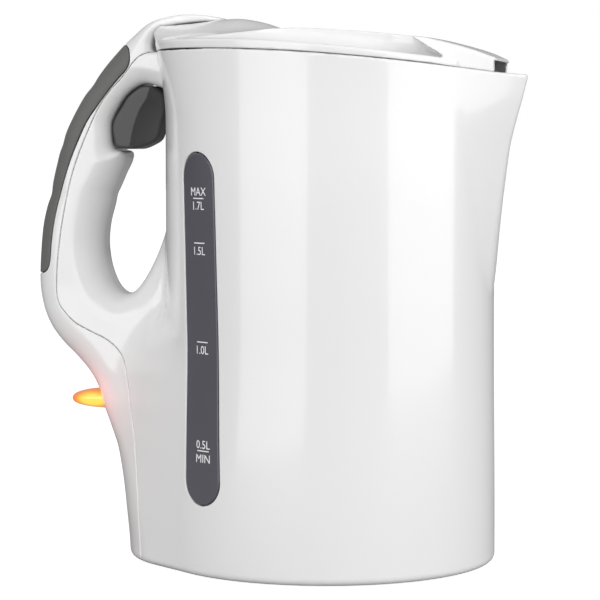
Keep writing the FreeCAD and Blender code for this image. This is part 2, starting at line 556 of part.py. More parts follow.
tube = elbow_tube(d["tube_radius"])
bore_run = elbow_tube(d["tube_bore"])
long_bore = bore_run.fuse(Part.makeCylinder(d["tube_bore"], 4, V(-61.8, 0, 184.0))).fuse(
    Part.makeCylinder(d["tube_bore"], 4, V(-72.0, 0, 62.0), V(1, 0, 0)))
export_node(feature("steam_tube", tube.cut(long_bore)), "steam_tube")

WIRES = (("live_wire", -4.2), ("neutral_wire", 0.0), ("lamp_wire", 4.2))
for name, y in WIRES:
    route = [(-72.5, y, 51.9), (-72.6, y, 36.0), (-72.8, y, 22.0), (-69.5, y, 15.0), (-62.0, y, 13.8),
             (-50.0, y, 13.8), (-33.8, y, 13.8)]
    export_node(feature(name, rod(route, d["wire_radius"])), name)
tabs = []
for _, y in WIRES:
    sleeve = Part.makeBox(3.4, 3.2, 2.6, V(-33.8, y - 1.6, 12.5))
    tabs.append(sleeve)
export_node(feature("spade_terminals", Part.makeCompound(tabs)), "spade_terminals")

# ---- heating element and control ----------------------------------------------------------
floor = d["floor_level"]
seal_top = floor + d["seat_seal_thick"]
ring_outer = cylinder("seat_ring_outer", "=Dims.body_radius - Dims.wall - 0.1", "seat_seal_thick",
                      (0, 0, floor))
ring_inner = cylinder("seat_ring_inner", "=Dims.ledge_radius + 0.3", "=Dims.seat_seal_thick + 2",
                      (0, 0, floor - 1))
export_node(cut("element_seal", ring_outer, ring_inner), "element_seal")
export_node(cylinder("element_plate", "plate_radius", "plate_thick", (0, 0, seal_top)), "element_plate")
export_node(cylinder("heat_spreader", "spreader_radius", "spreader_thick",
                     (0, 0, seal_top - d["spreader_thick"])), "heat_spreader")
ring_z = seal_top - d["spreader_thick"] - d["element_tube"]
coil = Part.makeTorus(d["element_ring"], d["element_tube"], V(0, 0, ring_z), V(0, 0, 1), -180, 180, 320)
coil.rotate(V(0, 0, 0), V(0, 0, 1), 20.0)
for angle in (20.0, 340.0):
    coil = coil.fuse(Part.makeCylinder(1.5, 9.0, V(d["element_ring"] * math.cos(math.radians(angle)),
                                                  d["element_ring"] * math.sin(math.radians(angle)),
                                                  ring_z - 9.0)))
export_node(feature("heating_element", coil), "heating_element")

control_low = 12.5
control = Part.makeCylinder(d["control_radius"], d["control_height"], V(0, 0, control_low))
CONTROL_ANGLES = (60.0, 180.0, 300.0)
spreader_low = seal_top - d["spreader_thick"]
reach = spreader_low - control_low - d["control_height"]
for angle in CONTROL_ANGLES:
    post = Part.makeCylinder(3.4, reach, V(d["control_screw_ring"], 0, control_low + d["control_height"]))
    control = control.fuse(round_axis(post, angle))
    control = control.cut(round_axis(Part.makeCylinder(
        d["screw_radius"] + 0.02, 30.0, V(d["control_screw_ring"], 0, 0)), angle))
for y in (-12.0, 12.0):
    control = control.fuse(Part.makeCylinder(2.5, 1.6, V(0, y, control_low + d["control_height"])))
export_node(feature("control_body", control), "control_body")
discs = [Part.makeCylinder(d["bimetal_radius"], d["bimetal_thick"],
                           V(0, y, control_low + d["control_height"] + 1.6)) for y in (-12.0, 12.0)]
export_node(feature("dry_boil_bimetals", Part.makeCompound(discs)), "dry_boil_bimetals")

socket = Part.makeCylinder(d["socket_radius"], 3.0, V(0, 0, control_low - 3.0))
socket = socket.cut(Part.makeCylinder(d["socket_hole"], 1.8, V(0, 0, control_low - 3.0)))
for radius in (9.0, 12.6):
    channel = Part.makeCylinder(radius + 0.9, 1.4, V(0, 0, control_low - 3.0)).cut(
        Part.makeCylinder(radius - 0.9, 1.4, V(0, 0, control_low - 3.0)))
    socket = socket.cut(channel)
export_node(feature("connector_socket", socket), "connector_socket")


def screw(length, head_height=1.8):
    """Pan-head screw standing on its head at the origin, shaft up."""
    head = Part.makeCylinder(d["screw_head"], head_height, V(0, 0, -head_height))
    shaft = Part.makeCylinder(d["screw_radius"], length)
    drive = Part.makeBox(4.0, 0.7, 0.9, V(-2.0, -0.35, -head_height))
    drive = drive.fuse(round_axis(drive, 90))
    return head.fuse(shaft).cut(drive)


def moved(shape, at, direction=(0, 0, 1)):
    copy = shape.copy()
    copy.Placement = FreeCAD.Placement(V(*at), axis_rotation(direction))
    return copy


control_screws = [round_axis(moved(screw(reach + d["control_height"] - 1.0, 1.6),
                                   (d["control_screw_ring"], 0, control_low)), a) for a in CONTROL_ANGLES]
export_node(feature("control_screws", Part.makeCompound(control_screws)), "control_screws")

# ---- bottom cover ---------------------------------------------------------------------------
disc_low = cylinder("bottom_disc", "bottom_radius", "bottom_thick", (0, 0, d["bottom_level"]))
collar = cylinder("bottom_collar", "=Dims.recess_radius + 1.8", "recess_height", (0, 0, d["bottom_level"]))
recess = cylinder("bottom_recess", "recess_radius", "=Dims.recess_height + 4", (0, 0, d["bottom_level"] - 2))
holes = [cylinder("bottom_hole_%d" % k, "=Dims.screw_radius + 0.2", "=Dims.bottom_thick + 2",
                  (59.5 * math.cos(math.radians(a)), 59.5 * math.sin(math.radians(a)),
                   d["bottom_level"] - 1)) for k, a in enumerate(POST_ANGLES)]
base_solid = fuse("bottom_solid", disc_low, collar)
export_node(cut("bottom_cover", base_solid, recess, *holes), "bottom_cover")
bottom_screws = [round_axis(moved(screw(d["screw_length"], 1.0), (59.5, 0, d["bottom_level"])), a)
                 for a in POST_ANGLES]
export_node(feature("bottom_screws", Part.makeCompound(bottom_screws)), "bottom_screws")
rear_screws = [moved(screw(13.2, 1.6), (-64.0, y, z), (-1, 0, 0)) for y, z in cover_screws]
export_node(feature("rear_cover_screws", Part.makeCompound(rear_screws)), "rear_cover_screws")

# ---- spout filter ------------------------------------------------------------------------------
low, high = 152.6, 188.8
frame = Part.makeBox(d["filter_thick"], 2 * filter_half, high - low,
                     V(filter_x - d["filter_thick"] / 2, -filter_half, low))
window_cut = Part.makeBox(8, 2 * filter_half - 8.0, high - low - 8.0,
                          V(filter_x - 4, 4.0 - filter_half, low + 4.0))
bar = Part.makeBox(d["filter_thick"], 1.6, high - low - 8.0,
                   V(filter_x - d["filter_thick"] / 2, -0.8, low + 4.0))
panel = Part.makeBox(d["mesh_thick"], 2 * filter_half - 7.0, high - low - 7.0,
                     V(filter_x - d["mesh_thick"] / 2, 3.5 - filter_half, low + 3.5))
export_node(feature("spout_filter_frame", frame.cut(window_cut).fuse(bar).cut(panel)),
            "spout_filter_frame")
export_node(feature("spout_filter_mesh", panel), "spout_filter_mesh")


# ---- springs -------------------------------------------------------------------------------------
def coil_spring(start, direction, length, ring, wire, turns):
    """Open coil from `start` along `direction`."""
    helix = Part.makeHelix(length / turns, length, ring)
    edges = helix.Edges
    at = edges[0].valueAt(edges[0].FirstParameter)
    along = edges[0].tangentAt(edges[0].FirstParameter)
    section = Part.Wire([Part.makeCircle(wire, at, along)])
    solid = Part.Wire(edges).makePipeShell([section], True, True)
    return moved(solid, start, direction)


spring_length = 9.6
trigger_spring = coil_spring((-93.0, 0, 177.0), (-1, 0, 0.0), spring_length, 2.6, 0.4, 5.5)
export_node(feature("trigger_spring", trigger_spring), "trigger_spring")
lid_spring = coil_spring((hx, -11.6, hz), (0, 1, 0), 3.2, 2.25, 0.35, 2.5)
export_node(feature("lid_spring", lid_spring), "lid_spring")

# ---- check and export ------------------------------------------------------------------------------
doc.recompute()
for obj in doc.Objects:
    if "Invalid" in obj.State or "Error" in obj.State:
        raise RuntimeError("bad object " + obj.Name)
for name, obj in NODES:
    shape = obj.Shape
    if shape.isNull() or not shape.isValid():
        print("BAD", name)
    bb = shape.BoundBox
    print("%-22s %2d %10.1f  X %7.1f %7.1f  Y %6.1f %6.1f  Z %6.1f %6.1f" % (
        name, len(shape.Solids), shape.Volume, bb.XMin, bb.XMax, bb.YMin, bb.YMax, bb.ZMin, bb.ZMax))
    shape.exportStep("parts/%s.step" % name)
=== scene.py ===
import json
import math
import bpy
import numpy as np
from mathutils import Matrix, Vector


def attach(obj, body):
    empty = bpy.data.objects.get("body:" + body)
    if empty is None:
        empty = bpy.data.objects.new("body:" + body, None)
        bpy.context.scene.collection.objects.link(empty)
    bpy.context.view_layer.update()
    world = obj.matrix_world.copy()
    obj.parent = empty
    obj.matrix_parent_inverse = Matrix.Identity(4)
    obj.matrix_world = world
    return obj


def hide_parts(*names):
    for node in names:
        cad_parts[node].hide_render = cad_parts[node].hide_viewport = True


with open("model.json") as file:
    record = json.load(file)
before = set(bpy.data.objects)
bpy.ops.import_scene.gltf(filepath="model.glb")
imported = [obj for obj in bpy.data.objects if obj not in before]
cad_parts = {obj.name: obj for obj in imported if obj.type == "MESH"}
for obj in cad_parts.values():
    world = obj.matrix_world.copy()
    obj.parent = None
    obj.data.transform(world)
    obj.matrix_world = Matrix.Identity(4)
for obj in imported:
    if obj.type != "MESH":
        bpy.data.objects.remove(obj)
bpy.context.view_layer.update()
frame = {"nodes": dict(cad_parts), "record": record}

MM = 0.001
NO_QUADS = np.zeros((0, 4), int)

# ======================================================================================
# Smooth shapes as fields: negative inside, about a millimetre per unit outside
# ======================================================================================


def through(points, closed=False, step=0.5):
    """Dense polyline on a centripetal Catmull-Rom curve through the points."""
    p = np.array(points, float)
    if closed:
        p = np.vstack([p[-1], p, p[0], p[1]])
    else:
        p = np.vstack([2 * p[0] - p[1], p, 2 * p[-1] - p[-2]])
    out = []
    for i in range(1, len(p) - 2):
        a, b, c, e = p[i - 1:i + 3]
        k = [0.0]
        for u, v in ((a, b), (b, c), (c, e)):
            k.append(k[-1] + max(np.linalg.norm(v - u), 1e-6) ** 0.5)
        n = max(2, int(np.linalg.norm(c - b) / step))
        t = np.linspace(k[1], k[2], n, endpoint=False)[:, None]
        a1 = (k[1] - t) / (k[1] - k[0]) * a + (t - k[0]) / (k[1] - k[0]) * b
        a2 = (k[2] - t) / (k[2] - k[1]) * b + (t - k[1]) / (k[2] - k[1]) * c
        a3 = (k[3] - t) / (k[3] - k[2]) * c + (t - k[2]) / (k[3] - k[2]) * e
        b1 = (k[2] - t) / (k[2] - k[0]) * a1 + (t - k[0]) / (k[2] - k[0]) * a2
        b2 = (k[3] - t) / (k[3] - k[1]) * a2 + (t - k[1]) / (k[3] - k[1]) * a3
        out.append((k[2] - t) / (k[2] - k[1]) * b1 + (t - k[1]) / (k[2] - k[1]) * b2)
    out = np.vstack(out)
    return out if closed else np.vstack([out, p[-2]])


class Area:
    """Signed distance to a closed outline in a plane, kept on a grid and read back smoothly."""

    def __init__(self, outline, box, h=1.0):
        (u0, v0), (u1, v1) = box
        self.h, self.o = h, np.array([u0, v0])
        us, vs = np.arange(u0, u1 + h, h), np.arange(v0, v1 + h, h)
        gu, gv = np.meshgrid(us, vs, indexing="ij")
        q = np.stack([gu.ravel(), gv.ravel()], 1)
        a, b = outline, np.roll(outline, -1, axis=0)
        keep = np.linalg.norm(b - a, axis=1) > 1e-9
        a, b = a[keep], b[keep]
        best, inside = np.full(len(q), 1e18), np.zeros(len(q), bool)
        for s in range(0, len(a), 40):
            aa, ab = a[s:s + 40], (b - a)[s:s + 40]
            d = q[:, None] - aa[None]
            t = np.clip((d * ab).sum(2) / (ab * ab).sum(1), 0, 1)
            best = np.minimum(best, ((d - t[..., None] * ab) ** 2).sum(2).min(1))
            bb = b[s:s + 40]
            cross = (aa[None, :, 1] > q[:, None, 1]) != (bb[None, :, 1] > q[:, None, 1])
            with np.errstate(divide="ignore", invalid="ignore"):
                x = aa[:, 0] + (q[:, None, 1] - aa[:, 1]) * ab[:, 0] / ab[:, 1]
            inside ^= (np.sum(cross & (q[:, None, 0] < x), axis=1) % 2).astype(bool)
        self.g = (np.sqrt(best) * np.where(inside, -1, 1)).reshape(gu.shape)

    def __call__(self, u, v):
        n = self.g.shape
        x = np.clip((u - self.o[0]) / self.h, 1, n[0] - 3.001)
        y = np.clip((v - self.o[1]) / self.h, 1, n[1] - 3.001)
        i, j = x.astype(int), y.astype(int)
        total = np.zeros(len(x))
        wx, wy = self._w(x - i), self._w(y - j)
        for a in range(4):
            for b in range(4):
                total += wx[a] * wy[b] * self.g[i + a - 1, j + b - 1]
        return total

    @staticmethod
    def _w(t):
        return ((1 - t) ** 3 / 6, (3 * t ** 3 - 6 * t ** 2 + 4) / 6,
                (-3 * t ** 3 + 3 * t ** 2 + 3 * t + 1) / 6, t ** 3 / 6)


def steps(x, xs, ys):
    """Smooth curve y(x) through a few pairs (monotone cubic)."""
    xs, ys = np.array(xs, float), np.array(ys, float)
    d = np.diff(ys) / np.diff(xs)
    m = np.empty(len(xs))
    m[1:-1] = np.where(d[:-1] * d[1:] > 0, 2 * d[:-1] * d[1:] / (d[:-1] + d[1:] + 1e-12), 0)
    m[0], m[-1] = d[0], d[-1]
    x = np.clip(x, xs[0], xs[-1])
    i = np.clip(np.searchsorted(xs, x) - 1, 0, len(xs) - 2)
    h = xs[i + 1] - xs[i]
    t = (x - xs[i]) / h
    return ((1 + 2 * t) * (1 - t) ** 2 * ys[i] + t * (1 - t) ** 2 * h * m[i]
            + t * t * (3 - 2 * t) * ys[i + 1] + t * t * (t - 1) * h * m[i + 1])


def ramp(x, lo, hi):
    t = np.clip((x - lo) / (hi - lo), 0, 1)
    return t * t * (3 - 2 * t)


def join(a, b, k):
    """Union with a fillet of about size k."""
    h = np.maximum(k - np.abs(a - b), 0) / k
    return np.minimum(a, b) - h ** 3 * k / 6


def both(a, b, r):
    """Intersection with an edge rounded to radius r."""
    return np.minimum(np.maximum(a, b), -r) + np.hypot(np.maximum(a + r, 0), np.maximum(b + r, 0))


def carve(a, b, r):
    return both(a, -b, r)


def egg(x, y, r1, r2, h):
    """Distance to the hull of a circle r1 at the origin and a circle r2 at (h, 0)."""
    y = np.abs(y)
    h = np.maximum(h, 1e-6)
    b = np.clip((r1 - r2) / h, -1, 1)
    a = np.sqrt(1 - b * b)
    k = -b * y + a * x
    return np.where(k < 0, np.hypot(x, y) - r1,
                    np.where(k > a * h, np.hypot(x - h, y) - r2, a * y + b * x - r1))


def gradient(f, p, h=0.02):
    g = np.empty_like(p)
    for i in range(3):
        e = np.zeros(3)
        e[i] = h
        g[:, i] = (f(p + e) - f(p - e)) / (2 * h)
    return g


def onto(f, p, rounds=4, limit=0.8):
    for _ in range(rounds):
        g = gradient(f, p)
        n2 = np.maximum((g * g).sum(1), 0.05)
        move = -(f(p) / n2)[:, None] * g
        size = np.linalg.norm(move, axis=1, keepdims=True)
        p = p + move * np.minimum(1, limit / np.maximum(size, 1e-9))
    return p


# ======================================================================================
# Meshing
# ======================================================================================


def nets(f, lo, hi, h, relax=3):
    """Quads on the surface f = 0 inside a box (surface nets, then pulled onto the surface)."""
    lo, hi = np.array(lo, float), np.array(hi, float)
    n = np.ceil((hi - lo) / h).astype(int) + 1
    ax = [lo[i] + h * np.arange(n[i]) for i in range(3)]
    val = np.empty(n)
    for i in range(n[0]):
        gy, gz = np.meshgrid(ax[1], ax[2], indexing="ij")
        q = np.stack([np.full(gy.size, ax[0][i]), gy.ravel(), gz.ravel()], 1)
        val[i] = f(q).reshape(gy.shape)
    s = val < 0
    c = [slice(0, -1), slice(1, None)]
    count = sum(s[c[i], c[j], c[k]].astype(int) for i in (0, 1) for j in (0, 1) for k in (0, 1))
    live = (count > 0) & (count < 8)
    idx = -np.ones(live.shape, int)
    idx[live] = np.arange(live.sum())
    cell = np.argwhere(live)
    acc, num = np.zeros((len(cell), 3)), np.zeros(len(cell))
    for axis in range(3):
        others = [a for a in range(3) if a != axis]
        for u in (0, 1):
            for v in (0, 1):
                off = np.zeros(3, int)
                off[others[0]], off[others[1]] = u, v
                end = off.copy()
                end[axis] = 1
                a, b = cell + off, cell + end
                va, vb = val[tuple(a.T)], val[tuple(b.T)]
                hit = (va < 0) != (vb < 0)
                t = np.where(hit, va / np.where(hit, va - vb, 1), 0)
                pos = a.astype(float)
                pos[:, axis] += t
                acc[hit] += pos[hit]
                num[hit] += 1
    verts = lo + h * acc / num[:, None]
    quads = []
    for axis in range(3):
        o1, o2 = [a for a in range(3) if a != axis]
        sl_a, sl_b = [slice(1, -1)] * 3, [slice(1, -1)] * 3
        sl_a[axis], sl_b[axis] = slice(0, -1), slice(1, None)
        a, b = s[tuple(sl_a)], s[tuple(sl_b)]
        e = np.argwhere(a != b)
        flip = a[tuple(e.T)]
        base = e + 1
        base[:, axis] -= 1
        ring = []
        for u, v in ((-1, -1), (0, -1), (0, 0), (-1, 0)):
            q = base.copy()
            q[:, o1] += u
            q[:, o2] += v
            ring.append(idx[tuple(q.T)])
        ring = np.stack(ring, 1)
        if axis == 1:
            flip = ~flip
        ring[~flip] = ring[~flip][:, ::-1]
        quads.append(ring)
    quads = np.vstack(quads)
    quads = quads[(quads >= 0).all(1)]
    verts = onto(f, verts, 3, h)
    for _ in range(relax):
        avg, cnt = np.zeros_like(verts), np.zeros(len(verts))
        for k in range(4):
            a, b = quads[:, k], quads[:, (k + 1) % 4]
            np.add.at(avg, a, verts[b])
            np.add.at(avg, b, verts[a])
            np.add.at(cnt, a, 1)
            np.add.at(cnt, b, 1)
        verts = verts + 0.6 * (avg / np.maximum(cnt, 1)[:, None] - verts)
        verts = onto(f, verts, 2, h)
    return verts, quads


def halves(quads, verts):
    """Triangles, split along the shorter diagonal."""
    a = np.linalg.norm(verts[quads[:, 0]] - verts[quads[:, 2]], axis=1)
    b = np.linalg.norm(verts[quads[:, 1]] - verts[quads[:, 3]], axis=1)
    q, w = quads[a <= b], quads[a > b]
    return np.vstack([q[:, [0, 1, 2]], q[:, [0, 2, 3]], w[:, [1, 2, 3]], w[:, [1, 3, 0]]])


def score(verts, tris, f, line, level=0.0, near=0.18):
    """Adds an edge loop to the mesh along line = level."""
    g = line(verts) - level
    e = np.vstack([tris[:, [0, 1]], tris[:, [1, 2]], tris[:, [2, 0]]])
    e = np.unique(np.sort(e, axis=1), axis=0)

    def crossing(g):
        hit = (g[e[:, 0]] * g[e[:, 1]]) < 0
        c = e[hit]
        t = g[c[:, 0]] / (g[c[:, 0]] - g[c[:, 1]])
        return c, t

    c, t = crossing(g)
    verts = verts.copy()
    for col, pick in ((0, t < near), (1, t > 1 - near)):
        at, tt = c[pick], t[pick][:, None]
        verts[at[:, col]] = verts[at[:, 0]] * (1 - tt) + verts[at[:, 1]] * tt
        g[at[:, col]] = 0.0
    c, t = crossing(g)
    fresh = verts[c[:, 0]] * (1 - t[:, None]) + verts[c[:, 1]] * t[:, None]
    moved = np.flatnonzero(g == 0.0)

    def settle(p):
        for _ in range(3):
            gl = gradient(line, p)
            p = p - ((line(p) - level) / np.maximum((gl * gl).sum(1), 0.05))[:, None] * gl
            p = onto(f, p, 1)
        return p

    verts[moved] = settle(verts[moved])
    new_id = {}
    base = len(verts)
    for k, (i, j) in enumerate(c):
        new_id[(i, j)] = base + k
    verts = np.vstack([verts, settle(fresh)]) if len(fresh) else verts
    g = np.concatenate([g, np.zeros(len(c))])
    sg = np.sign(g[tris])
    mixed = ((sg > 0).any(1)) & ((sg < 0).any(1))
    out = [tris[~mixed]]
    extra = []
    for tri in tris[mixed]:
        s = np.sign(g[tri])
        zero = np.flatnonzero(s == 0)
        if len(zero) == 1:
            k = zero[0]
            a, b, d = tri[k], tri[(k + 1) % 3], tri[(k + 2) % 3]
            m = new_id[(min(b, d), max(b, d))]
            extra += [(a, b, m), (a, m, d)]
        else:
            lone = np.flatnonzero(s == (1 if (s > 0).sum() == 1 else -1))[0]
            a, b, d = tri[lone], tri[(lone + 1) % 3], tri[(lone + 2) % 3]
            m1 = new_id[(min(a, b), max(a, b))]
            m2 = new_id[(min(a, d), max(a, d))]
            if np.linalg.norm(verts[b] - verts[m2]) < np.linalg.norm(verts[m1] - verts[d]):
                extra += [(a, m1, m2), (m1, b, m2), (b, d, m2)]
            else:
                extra += [(a, m1, m2), (m1, b, d), (m1, d, m2)]
    if extra:
        out.append(np.array(extra, int))
    return verts, np.vstack(out)


def compact(verts, tris):
    used, inv = np.unique(tris, return_inverse=True)
    return verts[used], inv.reshape(tris.shape)


def drop(d, r):
    """Height lost next to an edge rounded to radius r, and its slope."""
    u = np.clip(r - d, 0, r)
    root = np.sqrt(np.maximum(r * r - u * u, (0.12 * r) ** 2))
    return r - np.sqrt(np.maximum(r * r - u * u, 0)), np.where(d < r, -u / root, 0.0)


def shell(verts, tris, f, borders, radius, wall=None):
    """Rounds the borders of an open patch and, where wanted, turns them inwards as walls."""
    verts, tris = compact(verts, tris)
    g = gradient(f, verts)
    n = g / np.linalg.norm(g, axis=1, keepdims=True)
    fall, normal = np.zeros(len(verts)), n.copy()
    for line, sign, level in borders:
        d = sign * (line(verts) - level)
        h, slope = drop(np.maximum(d, 0), radius)
        gd = sign * gradient(line, verts)
        gd -= (gd * n).sum(1, keepdims=True) * n
        gd /= np.maximum(np.linalg.norm(gd, axis=1, keepdims=True), 1e-6)
        take = h > fall
        fall = np.where(take, h, fall)
        normal = np.where(take[:, None], n + slope[:, None] * gd, normal)
    normal /= np.linalg.norm(normal, axis=1, keepdims=True)
    top = verts - n * fall[:, None]
    if not wall:
        return top, normal, [tris], NO_QUADS
    e = np.vstack([tris[:, [0, 1]], tris[:, [1, 2]], tris[:, [2, 0]]])
    key = e[:, 0] * (len(verts) + 1) + e[:, 1]
    back = e[:, 1] * (len(verts) + 1) + e[:, 0]
    rim = e[~np.isin(key, back)]
    ids, inv = np.unique(rim, return_inverse=True)
    inv = inv.reshape(rim.shape) + len(verts)
    ring = np.stack([rim[:, 1], rim[:, 0], inv[:, 0], inv[:, 1]], 1)
    return (np.vstack([top, (verts - n * wall)[ids]]), np.vstack([normal, normal[ids]]), [tris], ring)


def mesh_object(name, verts, normals, faces, ring, material):
    """Blender mesh from numpy parts (millimetres), with exact normals on the skin."""
    polys = [tuple(t) for t in np.vstack(faces).tolist()]
    skin = len(polys)
    polys += [tuple(q) for q in ring.tolist()]
    mesh = bpy.data.meshes.new(name)
    mesh.from_pydata((verts * MM).tolist(), [], polys)
    mesh.polygons.foreach_set("use_smooth", np.ones(len(polys), bool))
    mesh.update()
    loops = np.empty(len(mesh.loops), int)
    mesh.loops.foreach_get("vertex_index", loops)
    corner = normals[loops].copy()
    if len(polys) > skin:
        flat = np.array([mesh.polygons[i].normal[:] for i in range(skin, len(polys))])
        corner[skin * 3:] = np.repeat(flat, 4, axis=0)
    mesh.normals_split_custom_set(corner.tolist())
    mesh.materials.append(material)
    obj = bpy.data.objects.new(name, mesh)
    bpy.context.collection.objects.link(obj)
    return obj


# ======================================================================================
# The kettle's own curves, millimetres: side view is (x, z)
# ======================================================================================

GAP = 0.3                           # between neighbouring pieces
SEAM_GAP = 0.14                     # between the body and the outer half of the handle
FOOT = -1.6                         # lowest height of the moulded body
WALL = 2.4                          # thickness of the body's wall
FLOOR_Z = 27.6                      # height of the jug's inner floor
HINGE_X, HINGE_Z = -66.0, 212.0     # axis of the lid
TONGUE_HALF = 13.6                  # half width of the tongue over the lid's hinge
GAUGE_LOW, GAUGE_HIGH = 26.9, 166.2
GAUGE_RADIUS = 67.6                 # of the body behind the gauge
SLOT_Z = 62.9                       # middle of the slot round the power lever
LIP = 0.22                          # gap between the rim and the lid
BAND = 3.55                         # height of the lid's edge band
CROWN = 0.5                         # rise of the lid's top across its width
OUTER = [(-43.6, 220.8), (-49.0, 221.9), (-55.0, 222.4), (-60.5, 222.3), (-66.2, 221.4),
         (-75.6, 218.6), (-84.4, 212.4), (-90.5, 206.2), (-95.8, 200.0), (-104.2, 187.8),
         (-111.0, 175.2), (-116.0, 162.5), (-119.7, 149.8), (-123.1, 137.1), (-124.5, 124.3),
         (-124.9, 111.6), (-124.1, 105.2), (-122.3, 98.8), (-119.2, 92.5), (-114.3, 86.4),
         (-107.6, 80.2), (-101.6, 73.7), (-97.2, 67.4), (-93.0, 58.0), (-88.0, 50.0)]
ROOT = [(-80.0, 44.0), (-62.0, 48.0), (-58.0, 75.0), (-60.0, 100.0), (-61.5, 143.0)]
INNER = [(-66.0, 143.8), (-67.8, 137.5), (-69.9, 131.2), (-72.4, 124.9), (-75.4, 118.6), (-79.2, 112.2),
         (-83.2, 107.8), (-87.6, 106.8), (-91.6, 109.8), (-95.0, 117.0), (-96.5, 124.7),
         (-96.6, 131.0), (-95.7, 137.3), (-93.9, 143.7), (-91.9, 150.0), (-89.6, 156.3),
         (-87.2, 161.5), (-86.5, 164.8)]
RECESS = [(-87.3, 166.6), (-89.9, 167.3), (-90.9, 171.0), (-91.5, 176.0), (-90.8, 179.8),
          (-84.1, 190.1), (-77.5, 194.0), (-72.5, 193.4), (-63.5, 190.0)]
KNUCKLE = [(-60.0, 194.5), (-58.0, 206.5), (-72.5, 207.6), (-72.6, 211.0), (-71.3, 214.6),
           (-69.0, 216.9), (-66.0, 217.5), (-55.0, 219.1), (-49.0, 219.5), (-44.4, 219.3)]
SEAM = [(-38.0, 207.0), (-58.0, 207.2), (-72.0, 207.4), (-78.0, 205.2), (-84.5, 197.5), (-93.4, 187.2),
        (-101.0, 172.5), (-107.6, 154.9), (-112.3, 132.0), (-114.2, 112.0), (-113.4, 103.7),
        (-106.9, 95.9), (-99.1, 91.6), (-91.3, 88.0), (-85.2, 82.9), (-82.2, 77.0), (-80.6, 69.7),
        (-79.0, 60.8), (-76.2, 42.5), (-73.8, 21.1), (-72.0, 2.0), (-71.0, -12.0)]
SEAM_BACK = [(-150.0, -12.0), (-150.0, 240.0), (-38.0, 240.0)]
GRIP = [(-94.0, 214.6), (-86.2, 210.9), (-83.0, 208.8), (-82.0, 205.6), (-82.1, 202.4),
        (-83.6, 199.6), (-86.3, 196.7), (-91.3, 190.9), (-95.8, 185.1), (-100.3, 178.9),
        (-105.0, 169.3), (-108.4, 161.4), (-111.0, 153.9), (-113.8, 144.7), (-115.5, 137.2),
        (-116.8, 128.7), (-117.6, 120.1), (-118.6, 117.2), (-121.0, 115.6), (-130.0, 114.9)]


def rim_z(x):
    """Height of the body's rim along the kettle: a slow fall that levels out in the beak."""
    return 205.1 - 0.065 * x - 0.0005 * x * x + 0.9 * ramp(x, 68, 86)


def densify(parts, step=0.5):
    """Closed outline made of curves ('c') and straight runs ('l')."""
    out = []
    for kind, pts in parts:
        out.append(through(pts, step=step) if kind == "c" else np.array(pts, float))
    return np.vstack(out)


SIDE_BOX = ((-140.0, -14.0), (-35.0, 235.0))
handle_side = Area(densify([("c", OUTER), ("l", ROOT), ("c", INNER), ("c", RECESS), ("l", KNUCKLE[:3]),
                            ("c", KNUCKLE[3:])]), SIDE_BOX, 0.8)
seam_side = Area(densify([("c", SEAM), ("l", SEAM_BACK)]), SIDE_BOX, 1.0)
grip_side = Area(densify([("c", GRIP), ("l", [(-150.0, 114.9), (-150.0, 214.6)])]), SIDE_BOX, 1.0)

TRIGGER = [(-77.2, 193.4), (-83.4, 189.6), (-87.0, 184.6), (-90.1, 179.6), (-90.9, 176.0),
           (-90.3, 171.5), (-89.1, 168.0), (-85.4, 167.3), (-81.5, 167.4), (-77.0, 168.8),
           (-72.9, 171.2), (-71.4, 175.0), (-70.4, 179.3), (-69.3, 184.0), (-69.6, 189.5),
           (-72.4, 192.6)]
trigger_side = Area(through(TRIGGER, closed=True), ((-110.0, 150.0), (-55.0, 210.0)), 0.5)


# ======================================================================================
# Fields of the body and handle
# ======================================================================================

def body(p):
    """Round body with the beak at the front and a heel that runs out to the handle behind."""
    x, y, z = p[:, 0], p[:, 1], p[:, 2]
    foot = 1 - ramp(z, 0, 95)
    x = x + 2.0 * foot
    r = 67.7 - 0.3 * ramp(z, 20, 140) + 2.5 * foot
    lift = np.clip((z - 180.0) / 27.6, 0, 1.5) ** 1.6
    back = ramp(-x / np.maximum(np.hypot(x, y), 1.0), 0.45, 0.95)
    r = r + lift * (0.6 + 3.2 * back)
    tip = steps(z, [96, 120, 132.6, 144.7, 157, 169, 175, 181, 187, 193, 197, 206],
                [66.0, 69.0, 70.2, 71.5, 73.0, 74.7, 76.1, 77.7, 79.4, 80.9, 81.9, 84.4])
    nose = steps(z, [96, 125, 150, 175, 197, 206], [34, 24, 13, 6.5, 3.0, 2.4])
    front = egg(x, y, r, nose, np.maximum(tip - nose, 0.5))
    heel = steps(z, [0, 6, 16.5, 29, 42, 55, 64, 74, 84, 92, 100, 112],
                 [84.2, 84.7, 86.0, 87.7, 90.3, 94.0, 96.2, 96.0, 91.0, 84.0, 75.0, 62.0])
    heel = heel - 2.0 * foot
    blunt = steps(z, [0, 20, 42, 60, 80, 112], [50.0, 42.0, 30.0, 20.0, 16.0, 20.0])
    rear = egg(-x, y, r, blunt, np.maximum(heel - blunt, 0.5))
    return join(front, rear, 0.5)


def tongue_taper(x):
    """Width of the tongue over the lid hinge: full at the hinge, closing in a round tip."""
    reach, least = 22.4, 0.012
    along = np.clip(x - HINGE_X, 0, reach - 0.2) / reach
    return least + (1 - least) * np.sqrt(np.clip(1 - along ** 2, 0.001, 1))


